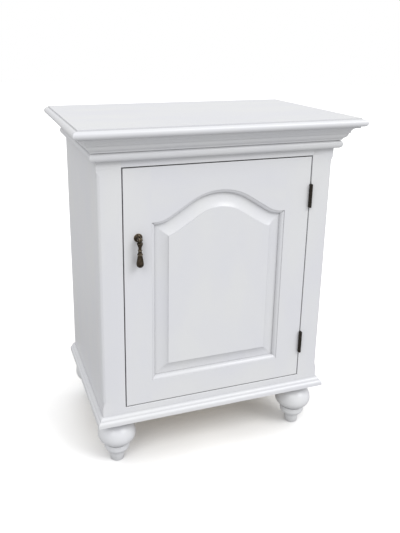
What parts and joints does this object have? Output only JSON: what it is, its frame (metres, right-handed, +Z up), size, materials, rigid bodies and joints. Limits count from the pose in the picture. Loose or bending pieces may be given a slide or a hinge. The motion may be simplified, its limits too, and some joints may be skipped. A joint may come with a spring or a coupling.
{
  "type": "bedside pot cupboard",
  "caption": "Painted bedside cupboard on turned bun feet, with a moulded cornice top and a right-hung inset door that has an arched raised panel and a swinging drop pull.",
  "frame": {"origin": "on the floor, under the middle of the bounding box", "axes": "+Z up from the floor to the top, -Y out of the door's face, +X towards the hinged side of the door"},
  "size_m": [0.5222, 0.3412, 0.645],
  "materials": {
    "painted_wood": "satin paint over wood",
    "bare_wood": "bare sanded pine",
    "antique_bronze": "dark antique patina",
    "steel": "zinc plated",
    "catch_plastic": "matte"
  },
  "bodies": {
    "cabinet": {"top_board": "painted_wood", "cornice_front": "painted_wood", "cornice_left": "painted_wood", "cornice_right": "painted_wood", "bead_front": "painted_wood", "bead_left": "painted_wood", "bead_right": "painted_wood", "side_left": "painted_wood", "side_right": "painted_wood", "back_panel": "bare_wood", "inner_top": "bare_wood", "bottom_board": "bare_wood", "shelf": "bare_wood", "shelf_cleat_left": "bare_wood", "shelf_cleat_right": "bare_wood", "frame_stile_left": "painted_wood", "frame_stile_right": "painted_wood", "frame_rail_top": "painted_wood", "frame_rail_bottom": "painted_wood", "base_front": "painted_wood", "base_left": "painted_wood", "base_right": "painted_wood", "foot_block_front_left": "bare_wood", "foot_block_front_right": "bare_wood", "foot_block_back_left": "bare_wood", "foot_block_back_right": "bare_wood", "foot_front_left": "painted_wood", "foot_front_right": "painted_wood", "foot_back_left": "painted_wood", "foot_back_right": "painted_wood", "foot_studs": "steel", "hinge_top_frame_leaf": "antique_bronze", "hinge_top_pin": "antique_bronze", "hinge_bottom_frame_leaf": "antique_bronze", "hinge_bottom_pin": "antique_bronze", "hinge_screws_frame": "antique_bronze", "catch_case": "catch_plastic", "catch_magnet": "steel", "catch_screws": "steel", "top_screws": "steel", "cleat_screws": "steel", "back_screws": "steel"},
    "door": {"door_stile_left": "painted_wood", "door_stile_right": "painted_wood", "door_rail_top": "painted_wood", "door_rail_bottom": "painted_wood", "door_panel": "painted_wood", "hinge_top_door_leaf": "antique_bronze", "hinge_bottom_door_leaf": "antique_bronze", "hinge_screws_door": "antique_bronze", "pull_rose": "antique_bronze", "pull_post": "antique_bronze", "pull_nut": "steel", "pull_pivot_pin": "antique_bronze", "strike_plate": "steel", "strike_screws": "steel"},
    "drop": {"pull_drop": "antique_bronze"}
  },
  "joints": [
    {"name": "door_hinge", "type": "hinge", "parent": "cabinet", "child": "door", "pos_m": [0.177, -0.13305, 0.3515], "axis": [0, 0, 1], "range_deg": [0, 180]},
    {"name": "drop_swing", "type": "hinge", "parent": "door", "child": "drop", "pos_m": [-0.151, -0.14045, 0.4529], "axis": [-1, 0, 0], "range_deg": [-5, 95]}
  ]
}
